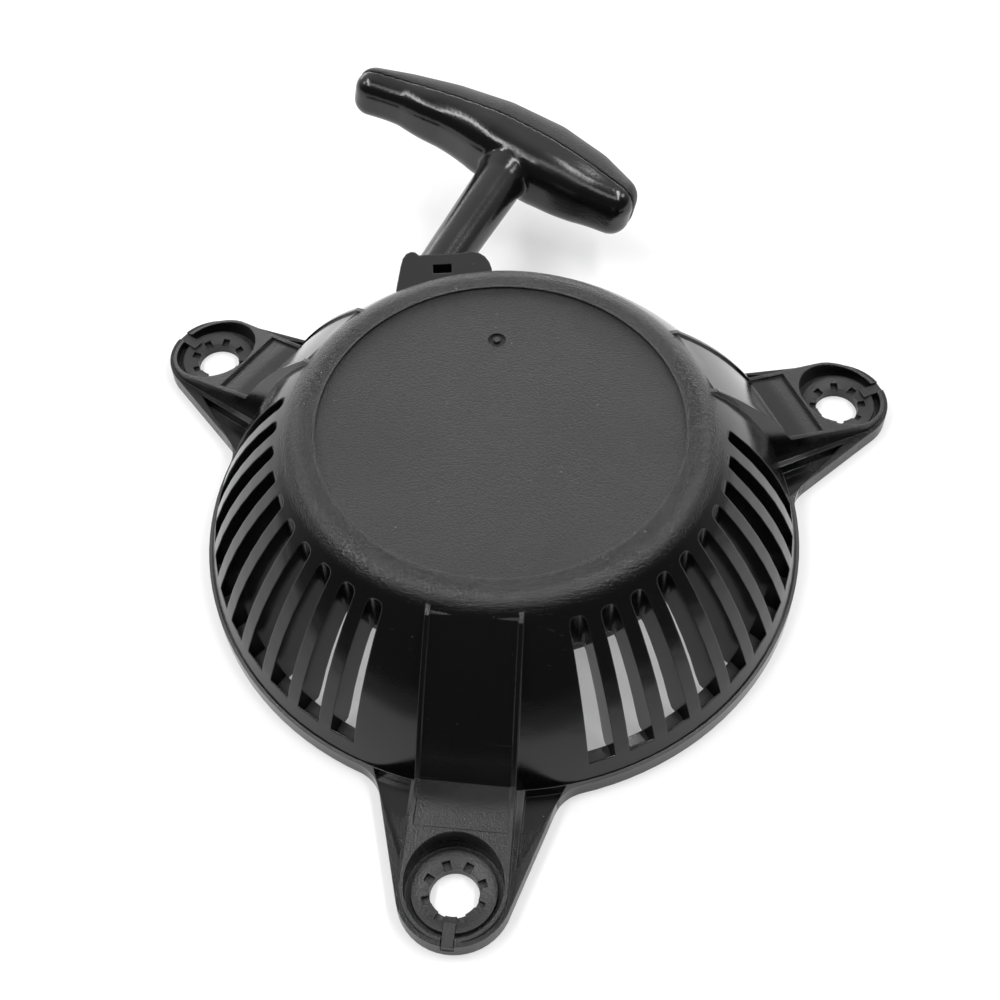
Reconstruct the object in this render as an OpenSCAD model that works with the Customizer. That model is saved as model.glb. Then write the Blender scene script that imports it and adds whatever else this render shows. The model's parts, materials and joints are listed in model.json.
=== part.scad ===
// Recoil starter for a small engine: domed cover with vents and three lugs,
// rope reel with spiral spring, pawls and guide plate, pull rope and T-handle.
// Origin: reel axis on the mounting plane. +Z up towards the dome, front lug at -Y.

/* [View] */
// which piece to show

/* [Cover] */
// outer radius of the mounting rim
rim_r = 80; // [70:0.5:95]
// height of the rim and lug skirt
rim_h = 5; // [3:0.5:8]
// overall height of the cover
dome_h = 49.5; // [40:0.5:60]
// radius where the flat top starts to roll over
shoulder_r = 49.5; // [45:0.5:55]
// radius of the rolled shoulder
shoulder_arc = 7; // [3:0.5:12]
// wall thickness
wall = 2.6; // [1.8:0.1:4]
// radius of the shallow round recess on top
label_r = 46.5; // [35:0.5:48]
// depth of that recess at its edge
label_depth = 0.7; // [0.3:0.1:1.5]

/* [Vents] */
// slots in each of the two vent fields
vent_count = 10; // [6:1:12]
// angle between slots
vent_pitch = 7.9; // [6:0.1:10]
// width of the bars between slots
slat_w = 3.8; // [2:0.1:6]
// radius where the slots start
vent_r_in = 57; // [54:0.5:62]
// radius where the slots end
vent_r_out = 77.4; // [72:0.1:79]

/* [Lugs] */
// radius of the circle through the three fixing holes
lug_pcr = 105; // [95:0.5:115]
// radius of the rounded lug end
lug_r = 14; // [12:0.5:18]
// half angle between the lug sides
lug_half_angle = 16.6; // [8:0.1:25]
// fillet between lug and rim
lug_fillet = 10; // [4:0.5:16]
// radius of the open cup above the bush
cup_r = 11.9; // [10:0.1:13]
// radius of the lip round the cup
lip_r = 12.9; // [12:0.1:14]
// half width of the raised column above the lug
column_w = 12.8; // [9:0.1:15]
// lug top height where the column meets the lug
lug_top_in = 14; // [8:0.5:18]

/* [Bushes] */
// outer radius of the lug bush
bush_r = 10.3; // [8:0.1:11]
// radius of the bolt hole through the bush
bush_bore_r = 6; // [4:0.1:7]
// height of the bush
bush_h = 4; // [2.5:0.1:6]
// notches round the hole
bush_notches = 8; // [4:1:12]

/* [Rope line] */
// direction the rope leaves, counted from +X
pull_angle = 70.5; // [60:0.5:90]
// distance from the reel axis to the rope line
rope_line_r = 47; // [44:0.1:54]
// height of the rope line
rope_z = 31.5; // [28:0.5:36]
// rope diameter
rope_d = 4.2; // [3:0.1:6]

/* [Reel] */
// outer radius of the rope flanges
reel_r = 51.5; // [48:0.5:53]
// radius of the groove floor
drum_r = 37.6; // [34:0.1:40]
// radius of the fixed post the reel turns on
post_r = 9.95; // [7:0.05:12]
// radial running clearance
run_gap = 0.07; // [0.02:0.01:0.1]
// turns of the spiral spring
spring_turns = 9; // [5:1:12]
// spring strip thickness
strip_t = 0.6; // [0.4:0.1:1]

/* [Handle] */
// length of the hand bar
bar_len = 93; // [80:1:120]
// how far the bar centre sits to the left of the stem
bar_offset = 7.7; // [0:0.5:12]
// roll of the bar about the stem as it hangs at rest
bar_roll = 11; // [0:0.5:30]
// distance along the rope line to the finger face
finger_s = 99; // [90:0.5:101]
// distance along the rope line to the top of the crown
crown_s = 121; // [116:0.5:130]
// height of the bar at the stem
bar_h = 22; // [18:0.5:26]
// radius of the stem at its tip
stem_tip_r = 6.3; // [5:0.1:9]
// radius of the stem where it meets the bar
stem_root_r = 7.6; // [6:0.1:10]

/* [Hidden] */
$fn = 64;
eps = 0.01;

// --- cover section -----------------------------------------------------
// the side of the dome is one arc that starts at 45 degrees at the shoulder
arc_end_r = shoulder_r + shoulder_arc * sin(45);
arc_end_z = dome_h - shoulder_arc * (1 - cos(45));
foot_r = rim_r - 0.8;
side_dr = foot_r - arc_end_r;
side_dz = rim_h - arc_end_z;
side_k = (side_dr * side_dr + side_dz * side_dz) / (2 * (-side_dz - side_dr));
side_arc = side_k / cos(45);
side_cr = arc_end_r - side_k;
side_cz = arc_end_z - side_k;
side_end = atan2(rim_h - side_cz, foot_r - side_cr);
side_steps = 7;
top_steps = 6;

// outer radius of the dome at height z, pulled in by t
function dome_r(z, t = 0) = side_cr + sqrt(pow(side_arc - t, 2) - pow(z - side_cz, 2));

// points of the dome outline from the axis to the foot, pulled in by t
function top_arc(t) = [
  for (i = [0:top_steps])
    let (a = 90 - 45 * i / top_steps)
    [shoulder_r + (shoulder_arc - t) * cos(a), dome_h - shoulder_arc + (shoulder_arc - t) * sin(a)]
];
function side_pts(t) = [
  for (i = [1:side_steps])
    let (a = 45 + (side_end - 45) * i / side_steps)
    [side_cr + (side_arc - t) * cos(a), side_cz + (side_arc - t) * sin(a)]
];

// --- lug plan ------------------------------------------------------------
lug_side = lug_r - 0.03;
lug_nx = cos(lug_half_angle);
lug_ny = -sin(lug_half_angle);
lug_tx = sin(lug_half_angle);
lug_ty = cos(lug_half_angle);
lug_p0 = [lug_side * lug_nx, -lug_pcr + lug_side * lug_ny];
fil_a = [lug_p0[0] + lug_fillet * lug_nx, lug_p0[1] + lug_fillet * lug_ny];
fil_at = fil_a[0] * lug_tx + fil_a[1] * lug_ty;
fil_aa = fil_a[0] * fil_a[0] + fil_a[1] * fil_a[1];
fil_reach = rim_r + lug_fillet;
fil_u = -fil_at - sqrt(fil_at * fil_at - fil_aa + fil_reach * fil_reach);
fil_c = [fil_a[0] + fil_u * lug_tx, fil_a[1] + fil_u * lug_ty];
fil_start = atan2(-lug_ny, -lug_nx);
fil_end = atan2(-fil_c[1], -fil_c[0]);
fil_steps = 7;
// the fillet runs a little into the rim at its last point
function fil_r(i) = lug_fillet + (i < fil_steps ? 0 : 0.06);
function fil_at_step(i) = fil_start + (fil_end - fil_start) * i / fil_steps;
function fil_x(i) = fil_c[0] + fil_r(i) * cos(fil_at_step(i));
function fil_y(i) = fil_c[1] + fil_r(i) * sin(fil_at_step(i));
lug_top_out = rim_h;
column_break_y = -80.5;
column_taper = 1.6;
ridge_w = 1.2;
channel_end = 92.4;
lug_tip_y = -(lug_pcr + lip_r);
lug_slope = (lug_top_in - lug_top_out) / (column_break_y - lug_tip_y);

// --- vents -----------------------------------------------------------------
vent_half = vent_pitch / 2;
vent_mid = [-30, -150];
function vent_w(r) = r * tan(vent_half) - slat_w / 2;
vent_floor = 5.6;
vent_depth = 8;
pad_in_r = 73;
skirt_in_r = 54.4;
skirt_z = 29;

// --- rope line --------------------------------------------------------------
pull_turn = pull_angle - 90;
rope_r = rope_d / 2;
lead_start = 0.6;
insert_s = 50.5;
lay_step = rope_d * cos(30);
last_turn = 300;
knot_x = -43.2;
knot_y = -15.7;
lead_end = 104.7;
tower_z = 41.6;
tower_turn = 9;
tower_x = -33.5;
tower_y = 60.2;
tower_fall = 51;

// --- stack of the mechanism -------------------------------------------------
under_top = dome_h - wall;
post_end = 17.8;
journal_r = 5;
journal_end = 12.6;
screw_r = 3;
web_z = 26;
web_t = 2.6;
spring_z0 = 30.4;
spring_z1 = 44;
spring_cup_r = 34.4;
spring_r0 = post_r + 0.9;
spring_r1 = spring_cup_r - 1.4;
flange_t = 1.9;
groove_half = rope_d + 0.1;
cup_wall_top = 45.6;

pawl_pivot_r = 20;
pin_r = 3;
pawl_z0 = 18.6;
pawl_z1 = 23.4;
peg_r = 1.8;
peg_x = 0.5;
peg_y = -10;
guide_swing = 28;
pawl_swing = 22;
plate_z0 = 14.9;
plate_z1 = 17.4;
plate_r = 30.5;
slot_gap = 0.4;
slot_steps = 10;

// --- handle --------------------------------------------------------------------
stem_tip_s = 53.4;
seam_s = 111;
seam_arc = 230;
bar_half = bar_len / 2;
knot_s = 108.5;
screw_head_z = 7.4;

// =====================================================================
// helpers
module at_lug(a) {
  rotate([0, 0, a + 90]) children();
}

module at_rope_line() {
  rotate([0, 0, pull_turn])
    translate([-rope_line_r, 0, rope_z])
      children();
}

// =====================================================================
// cover
module dome_profile(t, z0) {
  polygon(concat(
    [[0, z0], [0, dome_h - t]],
    top_arc(t),
    side_pts(t),
    [[foot_r - t, z0]]
  ));
}

module lug_plan() {
  translate([0, -lug_pcr])
    circle(r = lug_r);
  polygon(concat(
    [lug_p0],
    [for (i = [0:fil_steps]) [fil_x(i), fil_y(i)]],
    [[0, -40]],
    [for (i = [fil_steps:-1:0]) [-fil_x(i), fil_y(i)]],
    [[-lug_p0[0], lug_p0[1]]]
  ));
}

// side view of the column: follows the dome, stands out more towards the lug
column_steps = 9;
column_z0 = dome_h - 3.2;
function column_out(f) = 0.4 + 4.6 * pow(f, 1.25);
function column_face(drop) = [
  for (i = [column_steps:-1:0])
    let (f = i / column_steps, z = column_z0 + (lug_top_in + 0.8 - column_z0) * f)
    [-(dome_r(z) + column_out(f)) + drop, z]
];
module column_side(drop) {
  polygon(concat(
    [
      [-(lug_pcr + lug_r + 1), 0],
      [-(lug_pcr + lug_r + 1), lug_top_out - lug_slope * (lug_r + 1 - lip_r) - drop],
      [column_break_y - 1, lug_top_in - 0.25 - drop]
    ],
    column_face(drop),
    [
      [-(shoulder_r + 1.5), dome_h - 1.2],
      [-(shoulder_r - 3), dome_h - 1.4],
      [-(shoulder_r - 3), 0]
    ]
  ));
}

module column_block(half_w, drop) {
  intersection() {
    rotate([90, 0, 90])
      translate([0, 0, -half_w])
        linear_extrude(height = 2 * half_w)
          column_side(drop);
    union() {
      translate([0, -lug_pcr, 0])
        cylinder(r = lip_r, h = dome_h);
      linear_extrude(height = dome_h)
        polygon([
          [-half_w, -lug_pcr],
          [half_w, -lug_pcr],
          [half_w - column_taper, -40],
          [-half_w + column_taper, -40]
        ]);
    }
  }
}

// shallow channel between the two thin ridges of the column
module column_channel() {
  depth = 0.7;
  intersection() {
    rotate([90, 0, 90])
      translate([0, 0, -column_w])
        linear_extrude(height = 2 * column_w)
          polygon(concat(
            [
              [-channel_end, lug_top_in - 0.25 - lug_slope * (channel_end + column_break_y - 1) - depth],
              [-channel_end, lug_top_in + 20]
            ],
            [[-60, dome_h + 6], [-(shoulder_r - 6), dome_h + 6], [-(shoulder_r - 6), column_z0 - 1]],
            [for (i = [len(column_face(depth)) - 1:-1:0]) column_face(depth)[i]],
            [[column_break_y - 1, lug_top_in - 0.25 - depth]]
          ));
    linear_extrude(height = dome_h + 1)
      polygon([
        [-column_w + ridge_w, -lug_pcr],
        [column_w - ridge_w, -lug_pcr],
        [column_w - ridge_w - column_taper, -40],
        [-column_w + ridge_w + column_taper, -40]
      ]);
  }
}

module pocket_plan(side) {
  polygon([
    [side * (column_w + 1.2), -98.5],
    [side * (column_w + 1.2), -74],
    [side * 24.5, -74],
    [side * 22.4, -79.4]
  ]);
}

module vent_plan() {
  r0 = vent_r_in;
  w0 = vent_w(r0 + 1.4);
  polygon([
    [r0 + 1.4, -w0],
    [vent_r_out, -vent_w(vent_r_out)],
    [vent_r_out, vent_w(vent_r_out)],
    [r0 + 1.4, w0],
    [r0 + 0.75, w0 - 0.2],
    [r0 + 0.25, w0 - 0.65],
    [r0, w0 - 1.35],
    [r0, -w0 + 1.35],
    [r0 + 0.25, -w0 + 0.65],
    [r0 + 0.75, -w0 + 0.2]
  ]);
}

// thicker wall behind the vents, so the bars are deep fins
module fin_ring() {
  span = vent_count * vent_pitch + 3;
  for (m = vent_mid)
    rotate([0, 0, m - span / 2])
      rotate_extrude(angle = span)
        polygon(concat(
          [for (i = [1:side_steps]) side_pts(wall - 0.6)[i - 1]],
          [[pad_in_r + 2, rim_h + 0.3], [pad_in_r - 2, rim_h + 1.2]],
          [for (i = [side_steps - 1:-1:1]) side_pts(vent_depth)[i - 1]],
          [[skirt_in_r + 0.6, side_pts(vent_depth)[0][1]], [skirt_in_r + 0.6, arc_end_z - 3.4]]
        ));
}

module vents() {
  first = -(vent_count - 1) / 2;
  for (m = vent_mid)
    for (i = [0:vent_count - 1])
      rotate([0, 0, m + (first + i) * vent_pitch])
        translate([0, 0, vent_floor])
          linear_extrude(height = dome_h)
            vent_plan();
}

// rope guide tower: flat top beside the dome, back end squared up to the rope
module at_tower() {
  translate([tower_x, tower_y, 0])
    rotate([0, 0, tower_turn])
      children();
}

module tower() {
  // outline seen from above, with a small ear on the left and a round corner on the right
  at_tower()
    linear_extrude(height = tower_z)
      polygon([
        [-2.7, -13],
        [-2.5, -9.9],
        [-1.2, -1.1],
        [-0.6, 1.6],
        [0.4, 3.4],
        [1.8, 4.1],
        [2.9, 3.8],
        [3.9, 2.6],
        [15, 2.7],
        [18.4, 3.2],
        [20.6, 2.6],
        [22.3, 1],
        [23.4, -1.2],
        [24, -3.8],
        [24, -13]
      ]);
  // block for the guide insert, falling away behind the top
  intersection() {
    rotate([0, 0, pull_turn])
      translate([-rope_line_r - 11.4, 46, 0])
        cube([22.8, 15.4, tower_z + 5]);
    at_tower()
      rotate([90, 0, 90])
        translate([0, 0, -0.7])
          linear_extrude(height = 40)
            polygon([
              [-6, 0],
              [-6, tower_z - 0.6],
              [2.3, tower_z - 0.6],
              [22.3, tower_z - 0.6 - 20 * tan(tower_fall)],
              [22.3, 0]
            ]);
  }
}

module starter_housing() {
  color([0.08, 0.08, 0.085]) {
    difference() {
      union() {
        rotate_extrude()
          dome_profile(0, 1);
        // rim and lugs, one flat plate
        linear_extrude(height = rim_h)
          union() {
            circle(r = rim_r);
            for (a = [-90, 30, 150])
              at_lug(a)
                lug_plan();
          }
        for (a = [-90, 30, 150])
          at_lug(a)
            difference() {
              column_block(column_w, 0);
              column_channel();
            }
        tower();
      }
      // hollow inside, leaving the deep fins and the skirt round the reel
      difference() {
        rotate_extrude()
          dome_profile(wall, -1);
        fin_ring();
        rotate_extrude()
          polygon([
            [skirt_in_r, skirt_z],
            [vent_r_in - 0.4, skirt_z],
            [vent_r_in - 0.4, dome_h - 1],
            [skirt_in_r, dome_h - 1]
          ]);
      }
      // shallow recess on top, floor very slightly dished
      translate([0, 0, dome_h - label_depth])
        cylinder(r = label_r, h = 3);
      translate([0, 0, dome_h - label_depth - 0.5])
        cylinder(r1 = 5, r2 = label_r, h = 0.5);
      vents();
      for (a = [-90, 30, 150])
        at_lug(a) {
          translate([0, -lug_pcr, 2.4])
            cylinder(r = cup_r, h = 40);
          translate([0, -lug_pcr, -1])
            cylinder(r = bush_r + 0.02, h = 10);
          // slot for the bush key
          translate([-1.6, -lug_pcr - lug_r - 1, 2.4])
            cube([3.2, 6, 10]);
          for (side = [-1, 1])
            difference() {
              translate([0, 0, 1.6])
                linear_extrude(height = 20)
                  pocket_plan(side);
              translate([0, 0, -1])
                cylinder(r = rim_r - 0.6, h = 40);
            }
        }
      // rope passage and seat of the guide insert
      at_rope_line() {
        translate([0, 18, 0])
          rotate([-90, 0, 0])
            cylinder(r = 2.6, h = 40);
        translate([0, insert_s - 0.9, 0])
          rotate([-90, 0, 0])
            cylinder(r = 3.6, h = 4);
        translate([0, insert_s, 0])
          rotate([-90, 0, 0])
            cylinder(r = 4.8, h = 10);
        translate([0, stem_tip_s - 0.1, 0])
          rotate([-90, 0, 0])
            cylinder(r = 6.9, h = 20);
      }
      // latch window in the flat top
      at_tower()
        translate([7.7, -4.6, tower_z - 4.5])
          cube([5.2, 3.4, 6]);
      // dimple of the gate mark
      translate([-4, 28, dome_h - label_depth - 0.9])
        cylinder(r = 2.3, h = 2);
    }
    // ledge inside the rim that closes the slot ends
    difference() {
      rotate_extrude()
        polygon([
          [pad_in_r, 3.4],
          [foot_r - 1, 0.4],
          [foot_r - 0.6, 4.8],
          [vent_r_out + 0.7, 5.0],
          [pad_in_r, 7.6]
        ]);
      translate([0, 0, -1])
        cylinder(r = pad_in_r + 0.2, h = 4);
    }
    // post for the reel with its threaded bore
    difference() {
      union() {
        translate([0, 0, post_end])
          cylinder(r = post_r, h = under_top - post_end + 0.5);
        translate([0, 0, journal_end])
          cylinder(r = journal_r, h = post_end - journal_end + 1);
        translate([0, 0, under_top - 1.6])
          cylinder(r1 = post_r, r2 = post_r + 2.4, h = 2);
      }
      translate([0, 0, journal_end - 1])
        cylinder(r = screw_r + 0.02, h = 20);
      // slit that holds the inner end of the spring
      translate([-0.5, 4, spring_z0 - 0.6])
        cube([1, 10, spring_z1 - spring_z0 + 1.2]);
    }
    // gate mark beside the centre of the top
    translate([-4, 28, dome_h - label_depth - 1.2])
      cylinder(r = 0.9, h = 1.3);
  }
}

// =====================================================================
// lug bushes
module lug_bush(a) {
  color([0.1, 0.1, 0.105])
    at_lug(a)
      translate([0, -lug_pcr, 0])
        difference() {
          union() {
            cylinder(r = bush_r, h = bush_h);
            // key through the lip of the lug
            translate([-1.45, -lug_r + 0.15, 2.5])
              cube([2.9, 6, 2]);
          }
          translate([0, 0, -1])
            cylinder(r = bush_bore_r, h = 12);
          // shallow cone towards the hole
          translate([0, 0, bush_h - 0.7])
            cylinder(r1 = bush_bore_r + 0.2, r2 = bush_r - 0.6, h = 0.72);
          for (i = [0:bush_notches - 1])
            rotate([0, 0, (i + 0.5) * 360 / bush_notches])
              translate([bush_bore_r - 1, -1, bush_h - 1.7])
                cube([2.9, 2, 3]);
        }
}

module bush_front() {
  lug_bush(-90);
}

module bush_right() {
  lug_bush(30);
}

module bush_left() {
  lug_bush(150);
}

// =====================================================================
// rope guide: plastic insert in the tower and a steel eyelet in the insert
module guide_insert() {
  color([0.13, 0.13, 0.14])
    at_rope_line()
      rotate([-90, 0, 0])
        difference() {
          union() {
            translate([0, 0, insert_s + 0.05])
              cylinder(r = 4.75, h = 2.5);
            translate([0, 0, insert_s - 0.85])
              cylinder(r = 3.55, h = 2);
          }
          translate([0, 0, insert_s - 6])
            cylinder(r = 3.05, h = 12);
          translate([0, 0, insert_s + 1.45])
            cylinder(r = 4.15, h = 5);
        }
}

module guide_eyelet() {
  color([0.72, 0.72, 0.74])
    at_rope_line()
      rotate([-90, 0, 0])
        difference() {
          union() {
            translate([0, 0, insert_s - 0.8])
              cylinder(r = 3.03, h = 3);
            translate([0, 0, insert_s + 1.5])
              cylinder(r = 4.1, h = 1);
          }
          translate([0, 0, insert_s - 6])
            cylinder(r = 2.5, h = 12);
          translate([0, 0, insert_s + 1.9])
            cylinder(r1 = 2.45, r2 = 3.2, h = 0.65);
        }
}

// =====================================================================
// spiral spring
function spiral(r, a) = [r * cos(a), r * sin(a)];

module recoil_spring() {
  seg = 24;
  total = spring_turns * seg;
  pitch = (spring_r1 - spring_r0) / total;
  color([0.36, 0.37, 0.4])
    translate([0, 0, spring_z0])
      linear_extrude(height = spring_z1 - spring_z0)
        polygon(concat(
          // inner end bent into the slit of the post
          [
            [strip_t / 2, spring_r0 + strip_t],
            [strip_t / 2, 6],
            [-strip_t / 2, 6],
            [-strip_t / 2, spring_r0]
          ],
          [for (i = [1:total]) spiral(spring_r0 + pitch * i, 90 + i * 360 / seg)],
          [for (i = [total:-1:1]) spiral(spring_r0 + pitch * i + strip_t, 90 + i * 360 / seg)]
        ));
}

module thrust_washer() {
  color([0.66, 0.67, 0.69])
    translate([0, 0, journal_end - 1.22])
      difference() {
        cylinder(r = 11, h = 1.2);
        translate([0, 0, -1])
          cylinder(r = screw_r + 0.2, h = 4);
      }
}

module centre_screw() {
  z1 = journal_end - 1.24;
  color([0.7, 0.71, 0.73])
    difference() {
      union() {
        translate([0, 0, z1 - 1.3])
          cylinder(r = 7, h = 1.3);
        translate([0, 0, screw_head_z])
          cylinder(r = 5.77, h = z1 - screw_head_z - 0.5, $fn = 6);
        translate([0, 0, z1 - 1])
          cylinder(r = screw_r, h = 19);
      }
      translate([0, 0, screw_head_z - 1])
        cylinder(r = 2.6, h = 1.8);
    }
}

// =====================================================================
// reel
module reel_section() {
  z_mid = rope_z;
  polygon([
    [post_r + run_gap, post_end + 0.5],
    [13.4, post_end + 0.5],
    [13.4, web_z],
    [reel_r, web_z - 0.8],
    [reel_r, z_mid - groove_half],
    [drum_r, z_mid - groove_half],
    [drum_r, z_mid + groove_half],
    [reel_r, z_mid + groove_half],
    [reel_r, z_mid + groove_half + flange_t],
    [drum_r, z_mid + groove_half + flange_t + 0.6],
    [drum_r - 0.6, cup_wall_top],
    [spring_cup_r, cup_wall_top],
    [spring_cup_r, web_z + web_t],
    [post_r + run_gap, web_z + web_t]
  ]);
}

module reel() {
  color([0.86, 0.85, 0.8]) {
    difference() {
      rotate_extrude()
        reel_section();
      // lightening windows in the web between the ribs
      for (i = [0:5])
        rotate([0, 0, i * 60 + 30])
          translate([0, 0, web_z - 2])
            linear_extrude(height = 8)
              polygon([[27.5, -4.5], [33.5, -6.5], [33.5, 6.5], [27.5, 4.5]]);
      // hole for the rope tail
      translate([knot_x, knot_y, web_z - 3])
        cylinder(r = 2.5, h = 6);
    }
    // pawl pins
    for (a = [0, 180])
      rotate([0, 0, a])
        translate([pawl_pivot_r, 0, post_end + 0.6])
          cylinder(r = pin_r, h = web_z - post_end);
    // stops behind the pawls
    for (a = [0, 180])
      rotate([0, 0, a])
        translate([pawl_pivot_r - 6.2, -11.4, pawl_z0])
          cylinder(r = 1.4, h = web_z - pawl_z0 + 0.5);
    // radial ribs under the lower flange
    for (i = [0:11])
      rotate([0, 0, i * 30 + 15])
        translate([35, -0.7, web_z - 2.2])
          cube([16.5, 1.4, 2]);
  }
}

module rope_windings() {
  c = rope_r + 0.03;
  color([0.8, 0.78, 0.72]) {
    rotate_extrude()
      union() {
        for (p = [
          [rope_line_r - 2 * lay_step, 0],
          [rope_line_r - lay_step, -rope_r],
          [rope_line_r - lay_step, rope_r]
        ])
          translate([p[0], rope_z + p[1]])
            circle(r = c, $fn = 32);
      }
    // outermost turn, ends where the rope leaves the reel
    rotate([0, 0, pull_angle + 90])
      rotate_extrude(angle = last_turn)
        translate([rope_line_r, rope_z])
          circle(r = c, $fn = 32);
    // tail down to the knot
    translate([knot_x, knot_y, 25.05])
      cylinder(r = rope_r - 0.1, h = 4.4, $fn = 32);
  }
}

module reel_rope_knot() {
  color([0.8, 0.78, 0.72])
    translate([knot_x, knot_y, 0])
      union() {
        translate([0, 0, 21.9])
          sphere(r = 3.1, $fn = 32);
        translate([0, 0, 18])
          cylinder(r = 1.9, h = 3, $fn = 32);
      }
}

module pawl_spring(a) {
  wire = 0.4;
  color([0.62, 0.63, 0.65])
    rotate([0, 0, a])
      translate([pawl_pivot_r, 0, 0]) {
        rotate_extrude()
          union() {
            translate([4, 24.4])
              circle(r = wire, $fn = 48);
            translate([4, 25.1])
              circle(r = wire, $fn = 48);
          }
        translate([-4.3, -11, 24.1])
          cube([0.6, 11, 0.6]);
      }
}

module pawl_spring_a() {
  pawl_spring(0);
}

module pawl_spring_b() {
  pawl_spring(180);
}

// =====================================================================
// pawls and the plate that throws them out
module pawl(a) {
  color([0.5, 0.5, 0.53])
    rotate([0, 0, a])
      translate([pawl_pivot_r, 0, pawl_z0])
        difference() {
          union() {
            linear_extrude(height = pawl_z1 - pawl_z0)
              union() {
                circle(r = 5.2);
                polygon([[-3.4, 1.5], [5.1, 0.8], [5.3, -11], [4.9, -17.6], [1.9, -18.2], [-3.2, -9.5]]);
              }
            translate([peg_x, peg_y, plate_z0 + 0.3 - pawl_z0])
              cylinder(r = peg_r, h = 5);
          }
          translate([0, 0, -1])
            cylinder(r = pin_r + 0.05, h = 10);
        }
}

module pawl_a() {
  pawl(0);
}

module pawl_b() {
  pawl(180);
}

// path of the pawl peg seen from the plate, f from 0 to 1
function turn2(p, a) = [p[0] * cos(a) - p[1] * sin(a), p[0] * sin(a) + p[1] * cos(a)];
function peg_at(f) = turn2(
  turn2([peg_x, peg_y], pawl_swing * f) + [pawl_pivot_r, 0],
  -guide_swing * f
);
function peg_side(f, w) =
  let (d = peg_at(f + 0.01) - peg_at(f - 0.01), n = norm(d))
  peg_at(f) + [-d[1], d[0]] / n * w;

module peg_slot() {
  w = peg_r + slot_gap;
  polygon(concat(
    [for (i = [0:slot_steps]) peg_side(i / slot_steps, w)],
    [for (i = [slot_steps:-1:0]) peg_side(i / slot_steps, -w)]
  ));
  translate(peg_at(0))
    circle(r = w + 0.02, $fn = 32);
  translate(peg_at(1))
    circle(r = w + 0.02, $fn = 32);
}

module guide_plate() {
  color([0.18, 0.18, 0.19])
    difference() {
      union() {
        translate([0, 0, plate_z0])
          cylinder(r = plate_r, h = plate_z1 - plate_z0);
        // two short posts that carry the friction spring
        for (a = [90, 270])
          rotate([0, 0, a])
            translate([17, 0, plate_z0 - 2.6])
              cylinder(r = 1.6, h = 3);
      }
      translate([0, 0, plate_z0 - 5])
        cylinder(r = journal_r + 0.06, h = 12);
      for (a = [0, 180])
        rotate([0, 0, a])
          translate([0, 0, plate_z0 - 1])
            linear_extrude(height = 6)
              peg_slot();
      // weight saving holes
      for (a = [60, 120, 240, 300])
        rotate([0, 0, a])
          translate([22, 0, plate_z0 - 1])
            cylinder(r = 3.2, h = 6);
    }
}

module friction_spring() {
  color([0.62, 0.63, 0.65]) {
    translate([0, 0, plate_z0 - 0.95])
      rotate_extrude()
        translate([6.4, 0])
          circle(r = 0.7, $fn = 16);
    for (a = [90, 270])
      rotate([0, 0, a])
        translate([6.4, 0, plate_z0 - 0.95])
          rotate([0, 90, 0])
            cylinder(r = 0.65, h = 8.6, $fn = 16);
  }
}

// =====================================================================
// rope between the reel and the handle knot
module rope_lead() {
  color([0.8, 0.78, 0.72])
    at_rope_line()
      translate([0, lead_start, 0])
        rotate([-90, 0, 0])
          cylinder(r = rope_r - 0.1, h = lead_end - lead_start, $fn = 32);
}

// =====================================================================
// T-handle, drawn along the rope line: x across, y outwards, z up
module in_handle() {
  at_rope_line()
    rotate([0, bar_roll, 0])
      children();
}

// one section of the bar: fingers side y0, outer side y1, height h
module bar_station(x, y0, y1, h, r) {
  for (z = [-1, 1])
    for (y = [y0 + r, y1 - r])
      translate([x, y, z * (h / 2 - r)])
        sphere(r = r, $fn = 28);
}

// sections from the left end to the right end: place along the half length,
// finger side, outer side, and height as a share of the full height
bar_sections = [
  [-1, 0.9, -8.8, 0.69],
  [-0.75, 2.7, -5.1, 0.72],
  [-0.4, 2.3, -1.9, 0.86],
  [0, 0, 0, 1],
  [0.4, -1.7, 0, 0.99],
  [0.75, -1.5, -2.5, 0.88],
  [1, 0, -6.6, 0.79]
];
bar_round = 0.36;

module bar_section(i) {
  section = bar_sections[i];
  h = section[3] * bar_h;
  r = bar_round * h;
  x = -bar_offset + section[0] * (bar_half - bar_round * bar_h * 0.74);
  bar_station(x, finger_s + section[1], crown_s + section[2], h, r);
}

module bar_envelope() {
  for (i = [1:len(bar_sections) - 1])
    hull() {
      bar_section(i - 1);
      bar_section(i);
    }
}

module seam_block(gap) {
  translate([-bar_offset, seam_s - seam_arc, -30])
    cylinder(r = seam_arc + gap, h = 60, $fn = 180);
}

module handle_grip() {
  color([0.09, 0.09, 0.095])
    in_handle()
      difference() {
        union() {
          intersection() {
            bar_envelope();
            seam_block(0);
          }
          // stem
          translate([0, stem_tip_s, 0])
            rotate([-90, 0, 0])
              cylinder(r1 = stem_tip_r, r2 = stem_root_r, h = finger_s - stem_tip_s + 3);
          // flare between stem and bar
          translate([0, finger_s - 4, 0])
            rotate([-90, 0, 0])
              cylinder(r1 = stem_root_r - 0.2, r2 = stem_root_r + 1.9, h = 10);
        }
        // rope bore and knot pocket
        translate([0, 40, 0])
          rotate([-90, 0, 0])
            cylinder(r = 2.6, h = 70);
        translate([0, knot_s - 5, 0])
          rotate([-90, 0, 0])
            cylinder(r = 5.6, h = 30);
      }
}

module handle_cap() {
  color([0.12, 0.12, 0.125])
    in_handle()
      difference() {
        bar_envelope();
        seam_block(0.05);
        // hollow over the knot pocket
        translate([0, seam_s - 10, 0])
          rotate([-90, 0, 0])
            cylinder(r = 5.4, h = 13);
        // pry notch at the right end
        translate([-bar_offset + bar_half - 1.6, seam_s - 6.2, -1])
          cube([4, 3, 2]);
      }
}

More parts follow.
